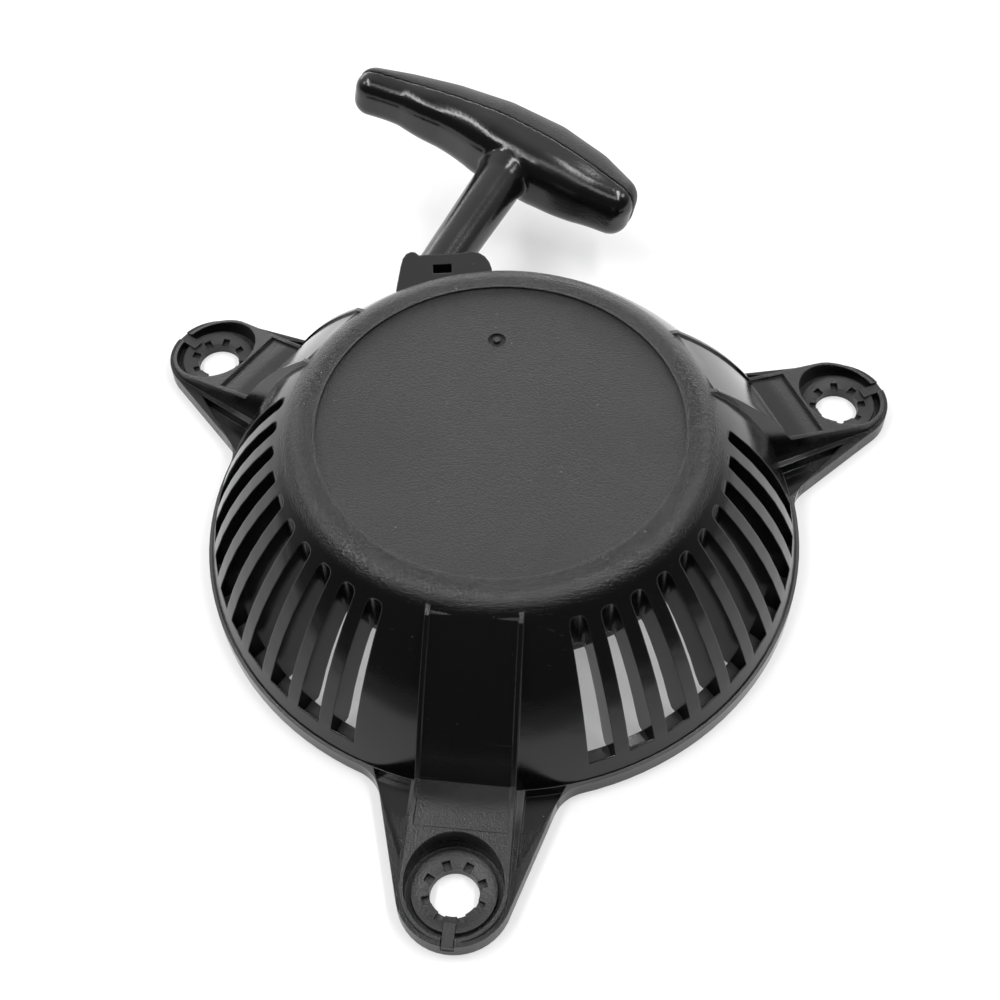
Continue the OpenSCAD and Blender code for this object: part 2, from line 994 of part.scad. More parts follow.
module knot_washer() {
  color([0.7, 0.71, 0.73])
    in_handle()
      translate([0, knot_s - 4.98, 0])
        rotate([-90, 0, 0])
          difference() {
            cylinder(r = 5.5, h = 1.2);
            translate([0, 0, -1])
              cylinder(r = 2.5, h = 4);
          }
}

module handle_rope_knot() {
  color([0.8, 0.78, 0.72])
    in_handle()
      union() {
        translate([0, knot_s - 0.4, 0])
          sphere(r = 3.3, $fn = 32);
        translate([0, knot_s, 0])
          rotate([-90, 0, 0])
            cylinder(r = 1.9, h = 5.4, $fn = 32);
      }
}

// =====================================================================
starter_housing();
bush_front();
bush_right();
bush_left();
guide_insert();
guide_eyelet();
recoil_spring();
thrust_washer();
centre_screw();
reel();
rope_windings();
reel_rope_knot();
pawl_spring_a();
pawl_spring_b();
guide_plate();
friction_spring();
pawl_a();
pawl_b();
rope_lead();
handle_grip();
handle_cap();
knot_washer();
handle_rope_knot();
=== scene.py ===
"""Looks of a recoil starter: moulded cover, lug bushes, rope reel, pawls and T-handle."""
import json
import math

import bmesh
import bpy
from mathutils import Matrix, Vector


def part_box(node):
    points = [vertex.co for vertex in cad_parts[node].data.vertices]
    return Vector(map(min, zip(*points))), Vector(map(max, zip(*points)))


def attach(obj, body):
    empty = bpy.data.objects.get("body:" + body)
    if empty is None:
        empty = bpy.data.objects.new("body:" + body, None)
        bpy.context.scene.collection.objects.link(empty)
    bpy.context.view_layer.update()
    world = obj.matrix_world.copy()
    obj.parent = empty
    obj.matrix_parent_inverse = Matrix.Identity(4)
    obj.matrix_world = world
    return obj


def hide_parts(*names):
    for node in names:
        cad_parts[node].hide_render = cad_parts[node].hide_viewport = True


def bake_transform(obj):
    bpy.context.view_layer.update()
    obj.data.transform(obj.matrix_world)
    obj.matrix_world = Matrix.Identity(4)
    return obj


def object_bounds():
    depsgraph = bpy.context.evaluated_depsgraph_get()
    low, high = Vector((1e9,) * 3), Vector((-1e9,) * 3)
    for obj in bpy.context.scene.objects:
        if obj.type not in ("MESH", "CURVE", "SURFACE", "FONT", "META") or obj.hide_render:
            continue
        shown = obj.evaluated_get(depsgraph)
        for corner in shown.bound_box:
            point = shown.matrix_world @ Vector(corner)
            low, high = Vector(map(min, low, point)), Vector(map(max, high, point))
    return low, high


MM = 0.001
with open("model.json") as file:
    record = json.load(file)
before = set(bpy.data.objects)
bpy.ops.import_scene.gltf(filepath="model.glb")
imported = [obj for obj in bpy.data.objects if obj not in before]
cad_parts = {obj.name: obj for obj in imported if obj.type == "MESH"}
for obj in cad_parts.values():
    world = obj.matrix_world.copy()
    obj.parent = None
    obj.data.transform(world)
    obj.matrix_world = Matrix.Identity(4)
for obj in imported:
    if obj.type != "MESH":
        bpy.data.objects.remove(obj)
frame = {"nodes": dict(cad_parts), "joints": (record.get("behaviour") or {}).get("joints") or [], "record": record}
cad_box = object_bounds()


# ---------------------------------------------------------------------------
# facts read from the frame
def joint(name):
    """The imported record's joint of that name."""
    return next(j for j in frame["joints"] if j["name"] == name)


PULL = Vector(joint("handle_pull")["axis"]).normalized()
ROPE_POINT = Vector(joint("handle_twist")["pos_m"])
ACROSS = Vector((PULL.y, -PULL.x, 0))
ROPE_Z = ROPE_POINT.z
ROPE_LINE_R = abs(ROPE_POINT.dot(ACROSS))
TANGENT = ROPE_POINT - PULL * ROPE_POINT.dot(PULL)


def slot_of(node):
    """The material slot that the record gives a CAD node."""
    return next(s["material_slot"] for s in frame["record"]["subparts"] if s["node"] == node)


def centre(node):
    """The middle of a CAD node's box."""
    low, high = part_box(node)
    return (low + high) / 2


# ---------------------------------------------------------------------------
# camera, floor and light
VIEW_ELEVATION = math.radians(54.017)
VIEW_TURN = math.radians(7.866)
VIEW_ROLL = math.radians(-1.843)
VIEW_DISTANCE = 0.4224
VIEW_TARGET = Vector((-0.69, -3.24, 21.0)) * MM
LENS = 57.74


def view_axes():
    """Right, up and backward directions of the camera."""
    turn = Matrix.Rotation(VIEW_TURN, 3, "Z")
    right = Vector((1, 0, 0))
    up = Vector((0, math.sin(VIEW_ELEVATION), math.cos(VIEW_ELEVATION)))
    back = Vector((0, -math.cos(VIEW_ELEVATION), math.sin(VIEW_ELEVATION)))
    rolled_right = right * math.cos(VIEW_ROLL) + up * math.sin(VIEW_ROLL)
    rolled_up = up * math.cos(VIEW_ROLL) - right * math.sin(VIEW_ROLL)
    return turn @ rolled_right, turn @ rolled_up, turn @ back


def make_camera():
    right, up, back = view_axes()
    data = bpy.data.cameras.new("camera")
    data.lens = LENS
    data.clip_start = 0.01
    camera = bpy.data.objects.new("camera", data)
    turn = Matrix.Rotation(VIEW_TURN, 3, "Z")
    place = turn @ VIEW_TARGET + back * VIEW_DISTANCE
    axes = Matrix((right, up, back)).transposed().to_4x4()
    camera.matrix_world = Matrix.Translation(place) @ axes
    bpy.context.scene.collection.objects.link(camera)
    bpy.context.scene.camera = camera


def direction(azimuth, elevation):
    """Unit vector; azimuth 0 looks away from the viewer and 90 to the viewer's right."""
    az, el = math.radians(azimuth), math.radians(elevation)
    turn = Matrix.Rotation(VIEW_TURN, 3, "Z")
    return turn @ Vector((math.sin(az) * math.cos(el), math.cos(az) * math.cos(el), math.sin(el)))


def softbox(name, azimuth, elevation, distance, width, height, brightness):
    """An area light that faces the object; brightness is how bright it looks."""
    data = bpy.data.lights.new(name, "AREA")
    data.shape = "RECTANGLE"
    data.size = width
    data.size_y = height
    data.energy = brightness * math.pi * width * height
    light = bpy.data.objects.new(name, data)
    light.location = direction(azimuth, elevation) * distance
    light.rotation_mode = "QUATERNION"
    light.rotation_quaternion = direction(azimuth, elevation).to_track_quat("Z", "Y")
    bpy.context.scene.collection.objects.link(light)


def make_lights():
    """Two long strips overhead, a small box on each side, a soft one above and a wide one behind."""
    softbox("strip_left", -90, 65, 1.2, 1.0, 0.14, 16)
    softbox("strip_right", 90, 65, 1.2, 1.0, 0.14, 16)
    softbox("softbox_left", -78, 42, 1.2, 0.24, 0.24, 8)
    softbox("softbox_right", 78, 42, 1.2, 0.24, 0.24, 8)
    softbox("softbox_top", 180, 74, 1.2, 0.7, 0.3, 3.0)
    softbox("softbox_back", 0, 12, 1.4, 2.6, 0.4, 3.2)


def make_world():
    """A pale room behind and above the object, dark on the viewer's side."""
    world = bpy.data.worlds.new("studio")
    world.use_nodes = True
    tree = world.node_tree
    tree.nodes.clear()
    looking = put(tree, "TexCoord").outputs["Generated"]
    facing = put(
        tree, "VectorMath", {0: looking, 1: direction(0, 12)}, operation="DOT_PRODUCT"
    ).outputs["Value"]
    bright = ramp(tree, facing, -0.3, 0.95, 0.06, 1.0, "SMOOTHSTEP")
    sky = put(tree, "Background", {"Color": (1, 1, 1, 1), "Strength": bright})
    put(tree, "OutputWorld", {"Surface": sky.outputs[0]})
    bpy.context.scene.world = world
    bpy.context.scene.view_settings.view_transform = "Standard"


def make_floor(material):
    mesh = bpy.data.meshes.new("floor")
    shape = bmesh.new()
    bmesh.ops.create_circle(shape, cap_ends=True, segments=96, radius=3.0)
    bmesh.ops.translate(shape, vec=(0, 0, cad_box[0].z - 0.02 * MM), verts=shape.verts)
    shape.to_mesh(mesh)
    shape.free()
    mesh.materials.append(material)
    floor = bpy.data.objects.new("floor", mesh)
    bpy.context.scene.collection.objects.link(floor)


# ---------------------------------------------------------------------------
# short calls for node trees
def put(tree, kind, inputs=None, **settings):
    """Adds a shader node; inputs pairs a socket's name or number with a value or an output."""
    made = tree.nodes.new("ShaderNode" + kind)
    for name, value in settings.items():
        setattr(made, name, value)
    for socket, value in (inputs or {}).items():
        if isinstance(value, bpy.types.NodeSocket):
            tree.links.new(value, made.inputs[socket])
        else:
            made.inputs[socket].default_value = value
    return made


def sums(tree, operation, first, second=0.0, clamp=False):
    """The output of a Math node."""
    return put(tree, "Math", {0: first, 1: second}, operation=operation, use_clamp=clamp).outputs[0]


def ramp(tree, value, low, high, start=0.0, end=1.0, kind="LINEAR"):
    """value mapped from low..high to start..end, and clamped there."""
    sockets = {"Value": value, "From Min": low, "From Max": high, "To Min": start, "To Max": end}
    return put(tree, "MapRange", sockets, interpolation_type=kind).outputs["Result"]


def mix(tree, factor, first, second):
    """A blend of two numbers."""
    return put(tree, "Mix", {0: factor, 2: first, 3: second}).outputs[0]


def tint(tree, factor, first, second):
    """A blend of two colours."""
    return put(tree, "Mix", {0: factor, 6: first, 7: second}, data_type="RGBA").outputs[2]


def new_group(name, inputs, outputs):
    """A shader node group with named sockets, and its two end nodes."""
    tree = bpy.data.node_groups.new(name, "ShaderNodeTree")
    for socket, kind, value in inputs:
        made = tree.interface.new_socket(socket, in_out="INPUT", socket_type="NodeSocket" + kind)
        if value is not None:
            made.default_value = value
    for socket, kind in outputs:
        tree.interface.new_socket(socket, in_out="OUTPUT", socket_type="NodeSocket" + kind)
    start = tree.nodes.new("NodeGroupInput")
    end = tree.nodes.new("NodeGroupOutput")
    return tree, start.outputs, end.inputs


def use(tree, group, inputs):
    """Places a node group and sets its inputs; gives its outputs."""
    made = put(tree, "Group", node_tree=group)
    for socket, value in inputs.items():
        if isinstance(value, bpy.types.NodeSocket):
            tree.links.new(value, made.inputs[socket])
        else:
            made.inputs[socket].default_value = value
    return made.outputs


def new_material(name):
    """A material with one Principled shader."""
    material = bpy.data.materials.new(name)
    material.use_nodes = True
    tree = material.node_tree
    tree.nodes.clear()
    shader = put(tree, "BsdfPrincipled")
    put(tree, "OutputMaterial", {"Surface": shader.outputs[0]})
    return material, tree, shader.inputs


def grey(value, warm=0.0):
    """A near-neutral colour."""
    return (value * (1 + warm), value, value * (1 - warm), 1)


# ---------------------------------------------------------------------------
# node groups that several finishes use
def group_moulded_edge():
    """Rounds the corners in the shading, and masks them."""
    tree, given, out = new_group(
        "moulded_edge",
        [("Radius", "Float", 0.0004)],
        [("Normal", "Vector"), ("Edge", "Float")],
    )
    rounded = put(tree, "Bevel", {"Radius": given["Radius"]}, samples=4).outputs[0]
    flat = put(tree, "NewGeometry").outputs["Normal"]
    turned = put(tree, "VectorMath", {0: rounded, 1: flat}, operation="DOT_PRODUCT").outputs["Value"]
    tree.links.new(rounded, out["Normal"])
    tree.links.new(ramp(tree, turned, 0.995, 0.85), out["Edge"])
    return tree


def group_pebble():
    """Fine rounded grain of a textured mould."""
    tree, given, out = new_group(
        "pebble",
        [
            ("Vector", "Vector", None),
            ("Size", "Float", 0.0006),
            ("Depth", "Float", 1.0),
            ("Normal", "Vector", None),
        ],
        [("Normal", "Vector"), ("Grain", "Float")],
    )
    per_metre = sums(tree, "DIVIDE", 1.0, given["Size"])
    coarse = sums(tree, "MULTIPLY", per_metre, 0.6)
    bend = put(tree, "TexNoise", {"Vector": given["Vector"], "Scale": coarse})
    shift = put(tree, "VectorMath", {0: bend.outputs["Color"], 3: 0.0006}, operation="SCALE")
    place = put(tree, "VectorMath", {0: given["Vector"], 1: shift.outputs[0]}, operation="ADD")
    cells = put(
        tree, "TexVoronoi", {"Vector": place.outputs[0], "Scale": per_metre}
    ).outputs["Distance"]
    fine = put(
        tree,
        "TexNoise",
        {"Vector": given["Vector"], "Scale": sums(tree, "MULTIPLY", per_metre, 2.2), "Detail": 2.0},
    ).outputs["Fac"]
    height = sums(tree, "SUBTRACT", sums(tree, "MULTIPLY", fine, 0.45), cells)
    bump = put(
        tree,
        "Bump",
        {
            "Strength": 1.0,
            "Distance": sums(tree, "MULTIPLY", given["Depth"], 0.00016),
            "Height": height,
            "Normal": given["Normal"],
        },
    )
    tree.links.new(bump.outputs[0], out["Normal"])
    tree.links.new(ramp(tree, cells, 0.15, 0.75, 1.0, 0.0), out["Grain"])
    return tree


def group_handling():
    """Faint smudges and hairline scratches."""
    tree, given, out = new_group(
        "handling",
        [("Vector", "Vector", None), ("Scale", "Float", 1.0)],
        [("Smudge", "Float"), ("Scratch", "Float")],
    )
    place = put(tree, "VectorMath", {0: given["Vector"], 3: given["Scale"]}, operation="SCALE").outputs[0]
    cloud = put(
        tree, "TexNoise", {"Vector": place, "Scale": 28.0, "Detail": 5.0, "Roughness": 0.62}
    ).outputs["Fac"]
    tree.links.new(ramp(tree, cloud, 0.38, 0.68, kind="SMOOTHSTEP"), out["Smudge"])
    lines = None
    for turn, stretch in ((0.35, 26.0), (-1.1, 18.0), (1.5, 34.0)):
        along = put(
            tree,
            "Mapping",
            {"Vector": place, "Rotation": (0.0, 0.0, turn), "Scale": (stretch, 1600.0, 700.0)},
        ).outputs[0]
        streak = put(tree, "TexNoise", {"Vector": along, "Scale": 1.0, "Detail": 1.0}).outputs["Fac"]
        thin = ramp(tree, streak, 0.76, 0.81)
        lines = thin if lines is None else sums(tree, "MAXIMUM", lines, thin)
    tree.links.new(lines, out["Scratch"])
    return tree


def group_dust():
    """Loose light specks that settle on faces that look up."""
    tree, given, out = new_group("dust", [("Vector", "Vector", None)], [("Dust", "Float")])
    specks = put(
        tree, "TexVoronoi", {"Vector": given["Vector"], "Scale": 420.0, "Randomness": 1.0}
    ).outputs
    pick = put(tree, "SeparateColor", {0: specks["Color"]}).outputs[0]
    small = ramp(tree, specks["Distance"], 0.11, 0.06)
    chosen = ramp(tree, pick, 0.90, 0.93)
    up = put(tree, "SeparateXYZ", {0: put(tree, "NewGeometry").outputs["Normal"]}).outputs[2]
    level = sums(tree, "MULTIPLY", small, chosen)
    tree.links.new(sums(tree, "MULTIPLY", level, ramp(tree, up, 0.5, 0.95)), out["Dust"])
    return tree


def group_drawn_metal():
    """Fine lines left by drawing or turning a metal part."""
    tree, given, out = new_group(
        "drawn_metal",
        [("Vector", "Vector", None), ("Depth", "Float", 1.0), ("Normal", "Vector", None)],
        [("Normal", "Vector"), ("Streak", "Float"), ("Stain", "Float")],
    )
    along = put(tree, "Mapping", {"Vector": given["Vector"], "Scale": (900.0, 900.0, 5200.0)}).outputs[0]
    streak = put(tree, "TexNoise", {"Vector": along, "Scale": 1.0, "Detail": 3.0}).outputs["Fac"]
    stain = put(
        tree, "TexNoise", {"Vector": given["Vector"], "Scale": 260.0, "Detail": 4.0, "Roughness": 0.65}
    ).outputs["Fac"]
    bump = put(
        tree,
        "Bump",
        {
            "Distance": sums(tree, "MULTIPLY", given["Depth"], 0.00003),
            "Height": streak,
            "Normal": given["Normal"],
        },
    )
    tree.links.new(bump.outputs[0], out["Normal"])
    tree.links.new(streak, out["Streak"])
    tree.links.new(ramp(tree, stain, 0.35, 0.7), out["Stain"])
    return tree


# ---------------------------------------------------------------------------
# finishes
def black_plastic(name, groups, black, gloss, rough, edge, size, depth):
    """A black moulded plastic: gloss is its polished roughness and rough what smudges add."""
    material, tree, shader = new_material(name)
    place = put(tree, "TexCoord").outputs["Object"]
    rounded = use(tree, groups["moulded_edge"], {"Radius": edge})
    marks = use(tree, groups["handling"], {"Vector": place})
    grain = use(
        tree,
        groups["pebble"],
        {"Vector": place, "Size": size, "Depth": depth, "Normal": rounded["Normal"]},
    )
    level = sums(tree, "MULTIPLY", marks["Smudge"], rough)
    level = sums(tree, "ADD", level, gloss)
    wear_and_groove_shade = sums(tree, "MULTIPLY", rounded["Edge"], 0.10)
    tree.links.new(sums(tree, "ADD", level, wear_and_groove_shade), shader["Roughness"])
    tree.links.new(tint(tree, rounded["Edge"], grey(black), grey(black * 2.6)), shader["Base Color"])
    tree.links.new(grain["Normal"], shader["Normal"])
    shader["IOR"].default_value = 1.5
    return material


def cover_plastic(groups):
    """Polished sides, pebble grain on the dome's top with a glossier ring round it, satin lugs, and a painted
    highlight on the low up-facing ledges at the slot ends.
    """
    material, tree, shader = new_material("cover_plastic")
    place = put(tree, "TexCoord").outputs["Object"]
    x, y, z = put(tree, "SeparateXYZ", {0: place}).outputs
    flat = put(tree, "CombineXYZ", {0: x, 1: y}).outputs[0]
    reach = put(tree, "VectorMath", {0: flat}, operation="LENGTH").outputs["Value"]
    dome_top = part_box("starter_housing")[1].z
    on_top = ramp(tree, z, dome_top - 4.2 * MM, dome_top - 1.6 * MM, kind="SMOOTHSTEP")
    on_lug = ramp(tree, reach, 84 * MM, 90 * MM, kind="SMOOTHSTEP")
    on_ring = ramp(tree, reach, 46.2 * MM, 47.4 * MM)
    up = put(tree, "SeparateXYZ", {0: put(tree, "NewGeometry").outputs["Normal"]}).outputs[2]
    below = ramp(tree, z, 8.2 * MM, 7.6 * MM)
    above = ramp(tree, z, 4.2 * MM, 4.6 * MM)
    low = sums(tree, "MULTIPLY", below, above)
    low_flat = sums(tree, "MULTIPLY", low, ramp(tree, up, 0.6, 0.85))
    # Low up-facing ledges at the slot ends, away from the lugs: the mask of a painted highlight.
    ledge_highlight = sums(tree, "MULTIPLY", low_flat, sums(tree, "SUBTRACT", 1.0, on_lug))
    rounded = use(tree, groups["moulded_edge"], {"Radius": 0.00045})
    marks = use(tree, groups["handling"], {"Vector": place})
    dust = use(tree, groups["dust"], {"Vector": place})["Dust"]
    depth_of_top = mix(tree, on_top, 0.05, mix(tree, on_ring, 1.3, 0.7))
    depth = sums(tree, "MAXIMUM", depth_of_top, mix(tree, on_lug, 0.0, 0.35))
    grain = use(
        tree,
        groups["pebble"],
        {"Vector": place, "Size": 0.00046, "Depth": depth, "Normal": rounded["Normal"]},
    )
    level = mix(tree, on_top, mix(tree, on_lug, 0.12, 0.26), mix(tree, on_ring, 0.4, 0.2))
    level = sums(tree, "ADD", level, sums(tree, "MULTIPLY", marks["Smudge"], 0.07))
    level = sums(tree, "SUBTRACT", level, sums(tree, "MULTIPLY", marks["Scratch"], 0.10))
    level = sums(tree, "ADD", level, sums(tree, "MULTIPLY", dust, 0.3), clamp=True)
    tree.links.new(level, shader["Roughness"])
    pale = sums(tree, "MULTIPLY", sums(tree, "MULTIPLY", grain["Grain"], on_top), 0.5)
    base = tint(tree, pale, grey(0.0042), grey(0.0085))
    # A paler colour on those ledges is a painted highlight.
    base = tint(tree, ledge_highlight, base, grey(0.07))
    base = tint(tree, sums(tree, "MULTIPLY", rounded["Edge"], 0.6), base, grey(0.016))
    base = tint(tree, sums(tree, "MULTIPLY", marks["Scratch"], 0.35), base, grey(0.03))
    base = tint(tree, sums(tree, "MULTIPLY", dust, 0.5), base, grey(0.22, 0.03))
    tree.links.new(base, shader["Base Color"])
    tree.links.new(grain["Normal"], shader["Normal"])
    shader["IOR"].default_value = 1.45
    return material


def metal(name, groups, bright, dark, polish, depth):
    """A drawn or turned metal with darker stains."""
    material, tree, shader = new_material(name)
    place = put(tree, "TexCoord").outputs["Object"]
    rounded = use(tree, groups["moulded_edge"], {"Radius": 0.00015})
    lines = use(
        tree, groups["drawn_metal"], {"Vector": place, "Depth": depth, "Normal": rounded["Normal"]}
    )
    base = tint(tree, lines["Stain"], bright, dark)
    base = tint(tree, sums(tree, "MULTIPLY", rounded["Edge"], 0.5), base, grey(0.75))
    tree.links.new(base, shader["Base Color"])
    streaked = ramp(tree, lines["Streak"], 0.3, 0.7, polish - 0.07, polish + 0.1)
    tree.links.new(streaked, shader["Roughness"])
    tree.links.new(lines["Normal"], shader["Normal"])
    shader["Metallic"].default_value = 1.0
    return material


BRAID_PITCH = 3.6 * MM


def rope_fibre():
    """Sixteen-strand braid, drawn along the piece's own length and girth."""
    material, tree, shader = new_material("rope")
    uv = put(tree, "UVMap", uv_map="braid").outputs[0]
    around, along, _ = put(tree, "SeparateXYZ", {0: uv}).outputs
    turns = sums(tree, "MULTIPLY", around, 8.0)
    rise = sums(tree, "MULTIPLY", along, 1 / BRAID_PITCH)
    ridges = []
    for side in ("ADD", "SUBTRACT"):
        phase = sums(tree, "MULTIPLY", sums(tree, side, turns, rise), math.pi)
        ridges.append(sums(tree, "ABSOLUTE", sums(tree, "SINE", phase)))
    over = sums(tree, "SINE", sums(tree, "MULTIPLY", turns, 2 * math.pi))
    cross = sums(tree, "SINE", sums(tree, "MULTIPLY", rise, 2 * math.pi))
    on_top = ramp(tree, sums(tree, "MULTIPLY", over, cross), -0.2, 0.2)
    height = mix(tree, on_top, ridges[0], ridges[1])
    fibre = put(
        tree,
        "TexNoise",
        {"Vector": put(tree, "TexCoord").outputs["Object"], "Scale": 9000.0, "Detail": 2.0},
    ).outputs["Fac"]
    fuzz = sums(tree, "ADD", height, sums(tree, "MULTIPLY", fibre, 0.25))
    bump = put(tree, "Bump", {"Distance": 0.00022, "Height": fuzz})
    tree.links.new(bump.outputs[0], shader["Normal"])
    # Strand tops paler and the grooves between strands darker: painted shade in the grooves.
    wear_and_groove_shade = tint(tree, height, grey(0.34, 0.05), grey(0.72, 0.03))
    strand = sums(tree, "MULTIPLY", sums(tree, "ADD", turns, rise), 0.125)
    tracer = ramp(tree, sums(tree, "FRACT", strand), 0.86, 0.88)
    tree.links.new(tint(tree, tracer, wear_and_groove_shade, (0.02, 0.02, 0.022, 1)), shader["Base Color"])
    tree.links.new(ramp(tree, fibre, 0.3, 0.7, 0.7, 0.9), shader["Roughness"])
    shader["Sheen Weight"].default_value = 0.25
    return material


def pale_floor():
    """White board that glows a little like a light table, and turns grey on the viewer's side."""
    material, tree, shader = new_material("floor_board")
    place = put(tree, "TexCoord").outputs["Object"]
    tooth = put(tree, "TexNoise", {"Vector": place, "Scale": 900.0, "Detail": 3.0}).outputs["Fac"]
    facing = put(
        tree, "VectorMath", {0: place, 1: direction(180, 0)}, operation="DOT_PRODUCT"
    ).outputs["Value"]
    near = ramp(tree, facing, 0.155, 0.2, kind="SMOOTHSTEP")
    white = tint(tree, tooth, grey(0.58), grey(0.6))
    tree.links.new(tint(tree, near, white, grey(0.2)), shader["Base Color"])
    glow = tint(tree, near, grey(0.3), grey(0.02))
    tree.links.new(glow, shader["Emission Color"])
    tree.links.new(ramp(tree, tooth, 0.3, 0.7, 0.62, 0.7), shader["Roughness"])
    bump = put(tree, "Bump", {"Distance": 0.00002, "Height": tooth})
    tree.links.new(bump.outputs[0], shader["Normal"])
    shader["Emission Strength"].default_value = 1.0
    return material


def make_finishes():
    """Every material slot's finish, by the slot's name."""
    groups = {
        "moulded_edge": group_moulded_edge(),
        "pebble": group_pebble(),
        "handling": group_handling(),
        "dust": group_dust(),
        "drawn_metal": group_drawn_metal(),
    }

    def plastic(name, black, gloss, rough, edge, size, depth):
        return black_plastic(name, groups, black, gloss, rough, edge, size, depth)

    return {
        "cover_plastic": cover_plastic(groups),
        "bush_plastic": plastic("bush_plastic", 0.006, 0.36, 0.12, 0.0003, 0.0005, 0.35),
        "guide_plastic": plastic("guide_plastic", 0.008, 0.32, 0.12, 0.0003, 0.0005, 0.3),
        "reel_plastic": plastic("reel_plastic", 0.010, 0.34, 0.14, 0.0003, 0.0006, 0.3),
        "plate_plastic": plastic("plate_plastic", 0.014, 0.38, 0.14, 0.0003, 0.0006, 0.35),
        "grip_plastic": plastic("grip_plastic", 0.0045, 0.16, 0.10, 0.0003, 0.0009, 0.10),
        "cap_plastic": plastic("cap_plastic", 0.0075, 0.44, 0.10, 0.0003, 0.0005, 0.7),
        "zinc_steel": metal("zinc_steel", groups, grey(0.62), (0.46, 0.47, 0.5, 1), 0.3, 1.0),
        "spring_steel": metal("spring_steel", groups, (0.20, 0.22, 0.27, 1), grey(0.12), 0.28, 1.4),
        "pawl_metal": metal("pawl_metal", groups, grey(0.30), grey(0.16), 0.5, 2.0),
        "rope": rope_fibre(),
    }


# ---------------------------------------------------------------------------
# making pieces
def add_piece(name, mesh, material, body, nodes):
    """Links a finished mesh as a piece that stands for CAD nodes."""
    mesh.materials.clear()
    mesh.materials.append(material)
    piece = bpy.data.objects.new(name, mesh)
    bpy.context.scene.collection.objects.link(piece)
    if body:
        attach(piece, body)
    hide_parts(*nodes)
    return piece


def sweep(path, radius, sides, closed=False):
    """A tube along the path, with its girth and length in the uv map named braid."""
    count = len(path)
    mesh = bpy.data.meshes.new("tube")
    shape = bmesh.new()
    uv_map = shape.loops.layers.uv.new("braid")
    rings, lengths, total = [], [], 0.0
    normal = None
    for i, point in enumerate(path):
        before = path[i - 1] if i or closed else point
        after = path[(i + 1) % count] if i < count - 1 or closed else point
        ahead = (after - before).normalized()
        if normal is None:
            normal = ahead.orthogonal().normalized()
        normal = (normal - ahead * normal.dot(ahead)).normalized()
        side = ahead.cross(normal)
        if i:
            total += (point - path[i - 1]).length
        lengths.append(total)
        ring = []
        for k in range(sides):
            a = 2 * math.pi * k / sides
            out = normal * math.cos(a) + side * math.sin(a)
            ring.append(shape.verts.new(point + out * radius))
        rings.append(ring)
    last = count if closed else count - 1
    for i in range(last):
        j = (i + 1) % count
        far = lengths[j] if j else total + (path[0] - path[-1]).length
        for k in range(sides):
            m = (k + 1) % sides
            face = shape.faces.new((rings[i][k], rings[i][m], rings[j][m], rings[j][k]))
            face.smooth = True
            corners = ((k, lengths[i]), (k + 1, lengths[i]), (k + 1, far), (k, far))
            for loop, (girth, length) in zip(face.loops, corners):
                loop[uv_map].uv = (girth / sides, length)
    if not closed:
        shape.faces.new(list(reversed(rings[0])))
        shape.faces.new(rings[-1])
    bmesh.ops.recalc_face_normals(shape, faces=shape.faces)
    shape.to_mesh(mesh)
    shape.free()
    return mesh


def joined(meshes):
    """One mesh from several."""
    shape = bmesh.new()
    for mesh in meshes:
        shape.from_mesh(mesh)
    out = bpy.data.meshes.new("joined")
    shape.to_mesh(out)
    shape.free()
    return out


def rounded_copy(node, voxel, passes):
    """A CAD node's shape with every corner softened, as a fresh mesh."""
    source = frame["nodes"][node]
    mesh = source.data.copy()
    shape = bmesh.new()
    shape.from_mesh(mesh)
    bmesh.ops.remove_doubles(shape, verts=shape.verts, dist=0.001 * MM)
    shape.to_mesh(mesh)
    shape.free()
    mesh.materials.clear()
    work = bpy.data.objects.new("work", mesh)
    bpy.context.scene.collection.objects.link(work)
    remesh = work.modifiers.new("remesh", "REMESH")
    remesh.mode = "VOXEL"
    remesh.voxel_size = voxel
    remesh.use_smooth_shade = True
    smooth = work.modifiers.new("smooth", "SMOOTH")
    smooth.factor = 0.5
    smooth.iterations = passes
    bpy.context.view_layer.update()
    graph = bpy.context.evaluated_depsgraph_get()
    out = bpy.data.meshes.new_from_object(work.evaluated_get(graph))
    bpy.data.objects.remove(work)
    return out


# ---------------------------------------------------------------------------
# rope
ROPE_R = 2.1 * MM
LEAD_R = ROPE_R - 0.1 * MM
LAY_STEP = 2 * ROPE_R * math.cos(math.radians(30))
KNOT_SIZE = 1.02 * MM
KNOT_FLAT = 1.2
KNOT_ROPE_R = 1.35 * MM
STUB_R = 1.7 * MM


def winding_path():
    """Three full turns in the groove, then the outermost that leads to where the rope leaves."""
    leave = math.atan2(TANGENT.y, TANGENT.x)
    layers = [(-2, 0), (-1, -1), (-1, 1), (0, 0)]
    per_turn = 72
    last_turn = 0.83
    total = round(per_turn * (len(layers) - 1 + last_turn))
    points = []
    for i in range(total + 1):
        left = (total - i) / per_turn
        done = len(layers) - 1 + last_turn - left
        k = min(int(done), len(layers) - 1)
        blend = min(1.0, (done - k) / 0.12)
        blend = blend * blend * (3 - 2 * blend)
        before = layers[max(k - 1, 0)]
        level = [before[n] + (layers[k][n] - before[n]) * blend for n in (0, 1)]
        angle = leave + left * 2 * math.pi
        r = ROPE_LINE_R + level[0] * LAY_STEP
        points.append(Vector((r * math.cos(angle), r * math.sin(angle), ROPE_Z + level[1] * ROPE_R)))
    return points


def knot_path(middle, axis, size, flat):
    """An overhand knot, as a closed trefoil about axis."""
    turn = Vector((0, 0, 1)).rotation_difference(axis).to_matrix()
    points = []
    steps = 96
    for i in range(steps):
        t = 2 * math.pi * i / steps
        x = math.sin(t) + 2 * math.sin(2 * t)
        y = math.cos(t) - 2 * math.cos(2 * t)
        z = -math.sin(3 * t)
        points.append(middle + turn @ (Vector((x, y, z * flat)) * size))
    return points


def line_path(start, end, steps):
    return [start.lerp(end, i / steps) for i in range(steps + 1)]


